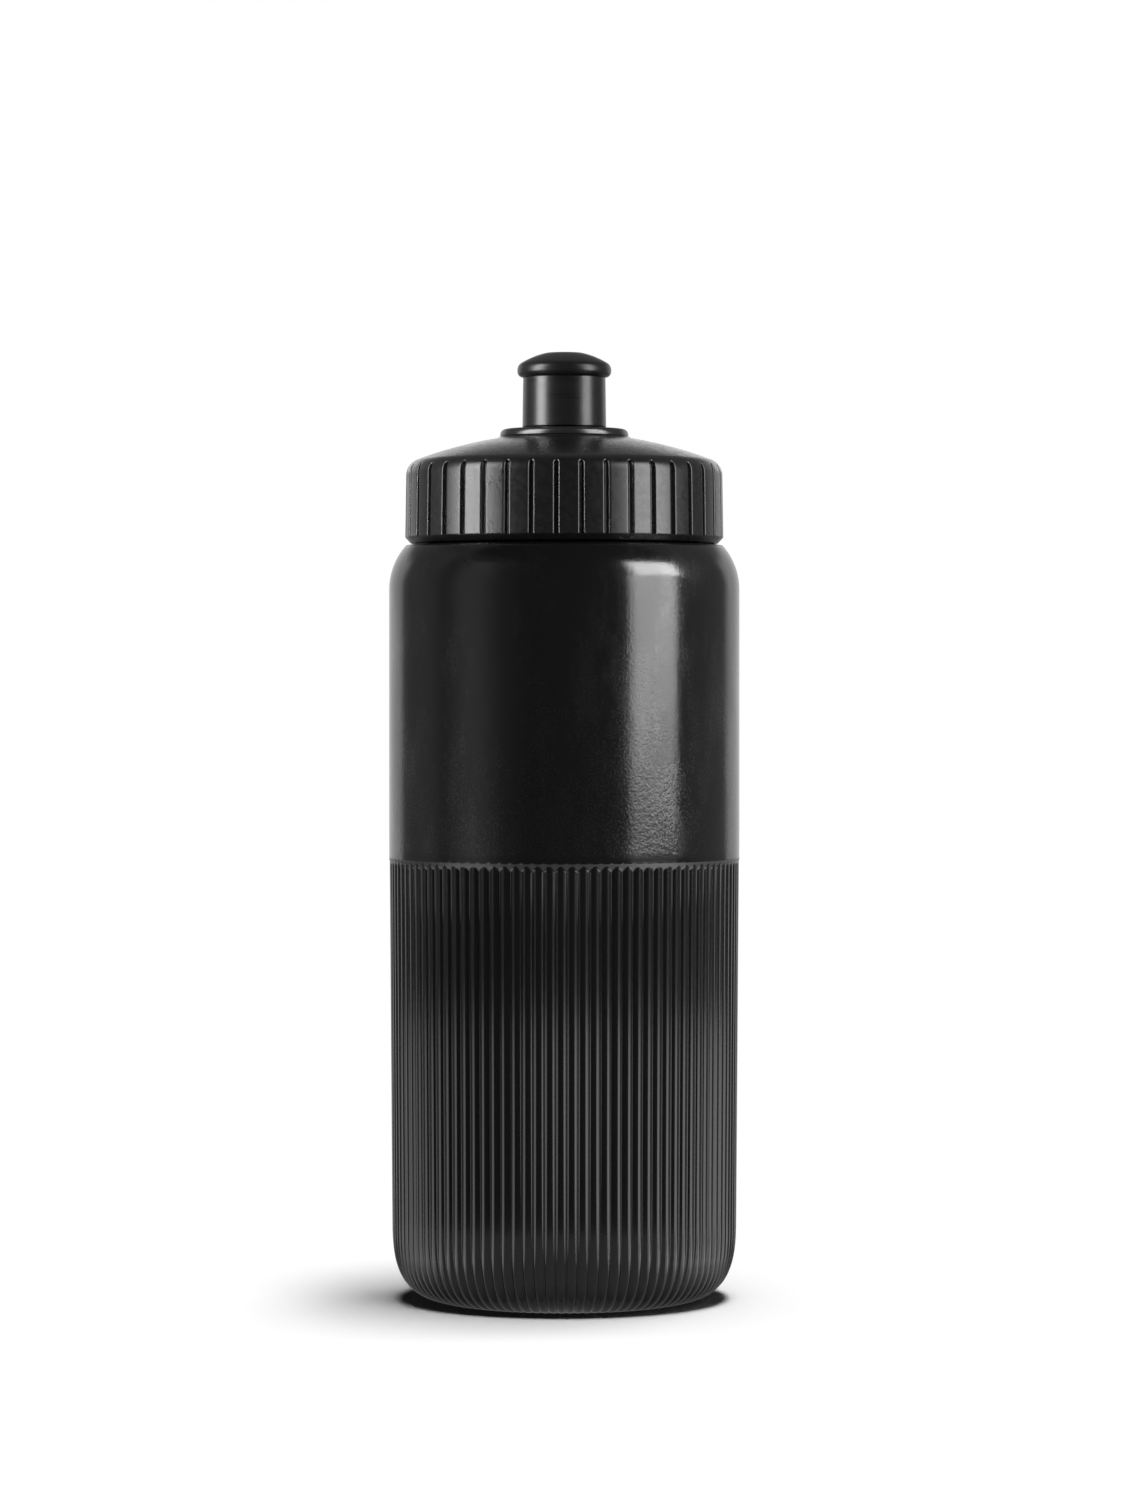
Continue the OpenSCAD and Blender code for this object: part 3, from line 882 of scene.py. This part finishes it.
# %% [markdown]
# The soft boxes are flat sheets that glow. A sheet is placed by its direction from the
# bottle: an angle round from the camera's side, and the heights of its two edges. The
# glossy body, the satin lid, the flange and the spout each have boxes of their own, so
# that each highlight gets its own width. The body's right box is in two parts: the low
# one fades out towards the ribs, and the brighter high one is for the shoulder. The
# body's left side stays nearly dark, with a weak box and a wide haze.

# %% Soft boxes
LIGHT_FAR = 1.1
BOX_BASE = 0.13


def glowing(name, glow):
    """A finish that adds light to whatever lies behind it, so that sheets may overlap."""
    lamp = Finish(name)
    lamp.tree.nodes.remove(lamp.shader)
    lamp.shader = lamp.add("ShaderNodeEmission", {}, {"Strength": glow})
    clear = lamp.add("ShaderNodeBsdfTransparent")
    both = lamp.add("ShaderNodeAddShader", {}, {0: lamp.shader.outputs[0], 1: clear.outputs[0]})
    lamp.feed(lamp.tree.nodes["Material Output"].inputs["Surface"], both.outputs[0])
    return lamp


def lit_sheet(name, points, faces, reach, lamp, receivers):
    """A glowing sheet that the camera can't see. Reach is a number held at each point."""
    sheet = stage_sheet(name, points.tolist(), faces, lamp.material)
    sheet.data.attributes.new("reach", "FLOAT", "POINT").data.foreach_set("value", reach)
    sheet.visible_camera = False
    shine_on(sheet, receivers)


def soft_box(name, angles, heights, glow, receivers, edge=0.05, fade=(0, 0.01), foot=0.0):
    """A glowing upright sheet seen from the bottle between two angles round from the camera's
    side, positive to the right. The four heights are angles above the table: of the lower
    edge at both ends, then of the upper edge at both ends. Its glow eases in over the edge
    share of its width at both sides, and over the two heights in fade, in metres, from the
    foot share to the whole."""
    middle = math.radians(sum(angles) / 2)
    width = LIGHT_FAR * math.tan(math.radians(abs(angles[1] - angles[0]) / 2))
    centre = np.array([math.sin(middle), -math.cos(middle), 0]) * LIGHT_FAR
    side = np.array([math.cos(middle), math.sin(middle), 0]) * width
    ways = np.array([centre - side, centre + side, centre + side, centre - side])
    rise = np.tan(np.radians([heights[0], heights[1], heights[3], heights[2]]))
    ways[:, 2] = BOX_BASE + np.linalg.norm(ways, axis=1) * rise
    lamp = glowing(name, glow)
    share = foot + (1 - foot) * lamp.along("Z").above(*fade, "SMOOTHSTEP")
    reach = lamp.attribute("reach")
    share = share * reach.above(0, edge, "SMOOTHSTEP") * (1 - reach).above(0, edge, "SMOOTHSTEP")
    lamp.feed(lamp.shader.inputs["Color"], share)
    lit_sheet(name, ways, [(0, 1, 2, 3)], [0, 1, 1, 0], lamp, receivers)


# %% [markdown]
# The boxes' numbers are, in order: two angles, four heights, the glow, the pieces lit, and
# the share of the width over which the glow eases in. The first box also has its fade and
# its foot share.

# %% Place the soft boxes
from_floor = (-7, -7)
body_fade = (0.062, 0.112)
soft_box("right_box_low", (42.5, 78), (*from_floor, 19.5, 16), 7.0, [bottle], 0.05, body_fade, 0.03)
soft_box("right_box_high", (46.5, 84), (19.5, 16, 40, 32), 14.2, [bottle], 0.05)
soft_box("left_box_weak", (-86, -38), (*from_floor, 36, 36), 0.34, [bottle], 0.5)
soft_box("left_haze", (-120, -20), (*from_floor, 36, 36), 0.10, [bottle], 0.3)
soft_box("right_lid_box", (43, 83), (*from_floor, 40, 40), 8.0, [lid], 0.1)
soft_box("left_lid_box", (-88, -50), (*from_floor, 40, 40), 11.0, [lid], 0.2)
soft_box("back_lid_box", (145, 215), (6, 6, 22, 22), 1.0, [lid], 0.1)
seat_pieces = [o_ring, spout_seat]
soft_box("right_seat_box", (34, 88), (*from_floor, 50, 50), 11.0, seat_pieces, 0.3)
soft_box("left_seat_box", (-92, -34), (*from_floor, 50, 50), 13.5, seat_pieces, 0.3)
spout_pieces = [sleeve, tip]
soft_box("right_spout_box", (50, 80), (*from_floor, 42, 42), 8.0, spout_pieces, 0.2)
soft_box("left_spout_box", (-84, -51), (*from_floor, 42, 42), 13.2, spout_pieces, 0.2)

# %% [markdown]
# ## Cards on the table
#
# They light the body from below, in place of the table.

# %% Cards
CARD_STEPS = 16
CARD_Z = 0.001


def floor_card(name, angles, near_far, glow, fade, receivers):
    """A glowing card that lies on the table between two angles and two distances. Its glow
    eases in over the fade share of its depth."""
    turn = np.radians(np.linspace(*angles, CARD_STEPS + 1))
    ring = np.stack([np.sin(turn), -np.cos(turn), np.zeros_like(turn)], -1)
    points = np.vstack([ring * near_far[0], ring * near_far[1]]) + [0, 0, CARD_Z]
    start = np.arange(CARD_STEPS)
    outer = start + CARD_STEPS + 1
    faces = np.stack([start, start + 1, outer + 1, outer], -1).tolist()
    lamp = glowing(name, glow)
    share = lamp.attribute("reach").above(0, fade, "SMOOTHSTEP")
    lamp.feed(lamp.shader.inputs["Color"], share)
    lit_sheet(name, points, faces, np.repeat([0, 1], CARD_STEPS + 1), lamp, receivers)


floor_card("right_card", (42, 80), (0.032, 0.75), 2.8, 0.05, [bottle])
floor_card("left_card", (-82, -46), (0.032, 0.75), 1.8, 0.05, [bottle])
floor_card("front_card", (-88, 88), (0.028, 0.16), 0.35, 0.1, [bottle])

# %% [markdown]
# ## The room
#
# The world is white for the camera, so that the background is plain. For reflections it is
# nearly dark, with the low white wall behind the bottle, and it doesn't light matt
# surfaces, so that the table's shadow comes from the table's own lights.

# %% World
BACK_HALF = 47
BACK_HIGH = 19
BACK_LOW = -9
SIDE_HALF = 90
DARK_ROOM = 0.07
SIDE_GLOW = 0.22
BACK_GLOW = 0.80
WALL_EDGE = 0.05
WALL_TOP_EDGE = 0.06
WALL_FOOT_EDGE = 0.03
SIDE_EDGE = 0.15


def room():
    """World shader: white to the camera; otherwise dark, with a white band behind the bottle
    whose edges are eased over a few degrees."""
    world = bpy.data.worlds.new("room")
    scene.world = world
    world.cycles_visibility.diffuse = False
    world.use_nodes = True
    nodes = Nodes(world.node_tree)
    nodes.tree.nodes.clear()
    way = nodes.add("ShaderNodeTexCoord").outputs["Generated"]
    split = nodes.add("ShaderNodeSeparateXYZ", {}, {0: way})
    x, y, z = (Level(nodes, split.outputs[axis]) for axis in "XYZ")
    aside = x.math("ABSOLUTE", x.math("ARCTAN2", x, y))
    half, side = math.radians(BACK_HALF), math.radians(SIDE_HALF)
    top, foot = math.sin(math.radians(BACK_HIGH)), math.sin(math.radians(BACK_LOW))
    band = aside.above(half + WALL_EDGE, half - WALL_EDGE, "SMOOTHSTEP")
    band = band * z.above(top + WALL_TOP_EDGE, top - WALL_TOP_EDGE, "SMOOTHSTEP")
    band = band * z.above(foot - WALL_FOOT_EDGE, foot + WALL_FOOT_EDGE, "SMOOTHSTEP")
    sides = aside.above(side + SIDE_EDGE, side - SIDE_EDGE, "SMOOTHSTEP")
    glow = DARK_ROOM + (SIDE_GLOW - DARK_ROOM) * sides + (BACK_GLOW - SIDE_GLOW) * band
    seen = nodes.add("ShaderNodeLightPath").outputs["Is Camera Ray"]
    strength = glow.math("MAXIMUM", glow, seen)
    back = nodes.add("ShaderNodeBackground", {}, {"Color": (1, 1, 1, 1), "Strength": strength})
    nodes.add("ShaderNodeOutputWorld", {}, {"Surface": back.outputs[0]})


room()

# %% [markdown]
# ## Camera
#
# The camera stands about a metre away, two thirds of the way up the bottle, and looks
# level, so that upright edges stay upright. The frame is shifted down a little instead of
# turning the camera. The image is 3 wide by 4 high, and the sensor's height sets the lens.

# %% Camera
CAMERA_FAR = 1.02
CAMERA_Z = 0.1326
LENS = 115.8
SENSOR_HIGH = 36
SHIFT_X = -0.0012
SHIFT_Y = -0.0533

camera_data = bpy.data.cameras.new("camera")
camera = bpy.data.objects.new("camera", camera_data)
scene.collection.objects.link(camera)
camera.location = (0, -CAMERA_FAR, CAMERA_Z)
camera.rotation_euler = (math.radians(90), 0, 0)
camera_data.sensor_fit = "VERTICAL"
camera_data.sensor_height = SENSOR_HIGH
camera_data.lens = LENS
camera_data.shift_x = SHIFT_X
camera_data.shift_y = SHIFT_Y
scene.camera = camera
scene.view_settings.view_transform = "Standard"
print(f"camera lens {camera_data.lens:.1f} mm at {CAMERA_FAR} m")
